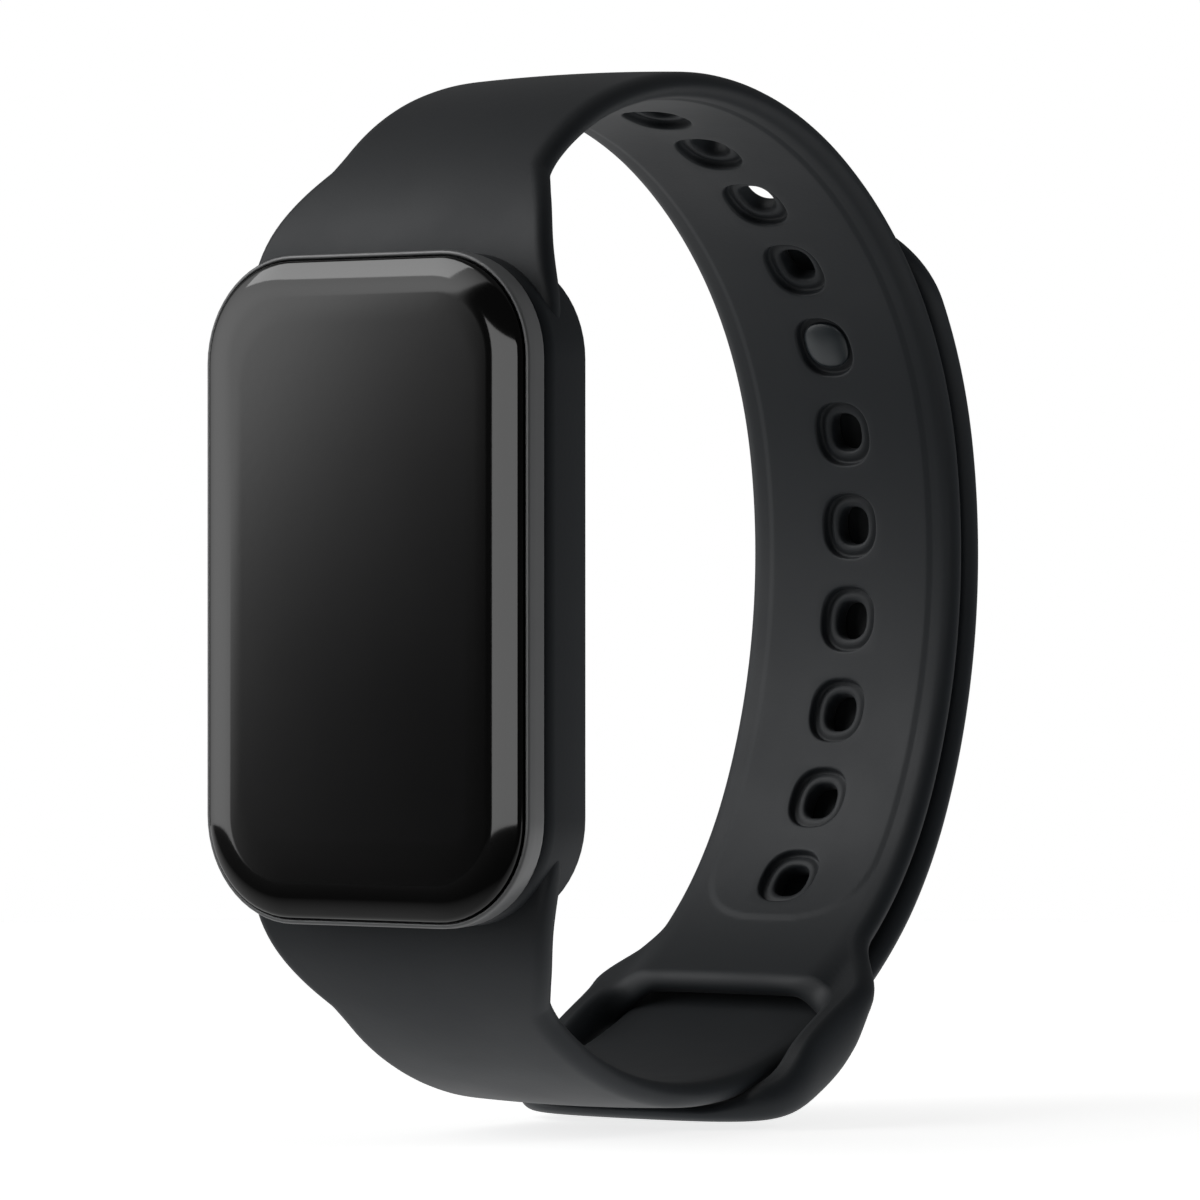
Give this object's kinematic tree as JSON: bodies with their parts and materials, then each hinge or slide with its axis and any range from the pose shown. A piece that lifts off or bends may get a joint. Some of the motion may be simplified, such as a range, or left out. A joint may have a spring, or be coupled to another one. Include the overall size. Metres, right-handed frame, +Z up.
{
  "type": "fitness tracker band",
  "caption": "Wrist-worn activity tracker: a rounded rectangular touch screen module snapped into a soft strap that closes with a keeper loop and a stud.",
  "frame": {"origin": "middle of the wrist opening, on the wrist's axis", "axes": "+X across the strap along the wrist, -Y out of the screen, +Z up towards the hole strap"},
  "size_m": [0.0254, 0.0603, 0.0686],
  "materials": {
    "cover_glass": "polished tempered glass",
    "bonding_film": "thin black bonding film",
    "display_glass": "unlit display panel",
    "flex_film": "polyimide flexible circuit",
    "housing_plastic": "satin moulded polycarbonate",
    "cover_plastic": "satin moulded polycarbonate",
    "seal_rubber": "soft silicone gasket",
    "sensor_lens": "infrared-clear tinted acrylic",
    "foam": "closed-cell foam",
    "circuit_board": "solder-masked fibreglass",
    "led_resin": "clear moulded resin",
    "diode": "silicon under clear resin",
    "gold_contact": "gold-plated",
    "chip": "moulded epoxy",
    "tin_plate": "tin-plated steel",
    "steel": "plain steel",
    "pouch": "aluminium laminate pouch",
    "tungsten": "sintered tungsten alloy",
    "copper": "copper foil",
    "silicone": "soft matte silicone",
    "stud_plastic": "smooth hard plastic"
  },
  "bodies": {
    "strap": {"strap_cradle": "silicone", "hole_strap": "silicone", "keeper_loop": "silicone", "lower_strap": "silicone", "cradle_lip": "silicone"},
    "tail": {"strap_tail": "silicone", "clasp_stud": "stud_plastic"},
    "tracker": {"front_glass": "cover_glass", "glass_adhesive": "bonding_film", "display_panel": "display_glass", "display_flex": "flex_film", "housing": "housing_plastic", "back_cover": "cover_plastic", "back_cover_seal": "seal_rubber", "sensor_window": "sensor_lens", "optical_barrier": "foam", "sensor_board": "circuit_board", "sensor_leds": "led_resin", "photodiodes": "diode", "charging_contacts": "gold_contact", "main_board": "circuit_board", "processor_chip": "chip", "memory_chip": "chip", "radio_chip": "chip", "power_chip": "chip", "motion_sensor": "chip", "shield_can": "tin_plate", "board_screws": "steel", "battery_cell": "pouch", "battery_pad": "foam", "battery_tab": "circuit_board", "motor_can": "tin_plate", "motor_shaft": "steel", "antenna": "copper"},
    "motor_rotor": {"motor_weight": "tungsten"}
  },
  "joints": [
    {"name": "tail_peel", "type": "hinge", "parent": "strap", "child": "tail", "pos_m": [0, 0.02055, -0.02619], "axis": [-1, 0, 0], "range_deg": [0, 40], "stiffness_Nm_per_rad": 0.03, "deforming": ["clasp_stud"]},
    {"name": "tracker_release", "type": "slide", "parent": "strap", "child": "tracker", "axis": [0, -1, 0], "range_m": [0, 0.015], "deforming": ["cradle_lip"]},
    {"name": "motor_spin", "type": "hinge", "parent": "tracker", "child": "motor_rotor", "pos_m": [-0.006, -0.02105, 0.0146], "axis": [0, 1, 0], "continuous": true}
  ]
}
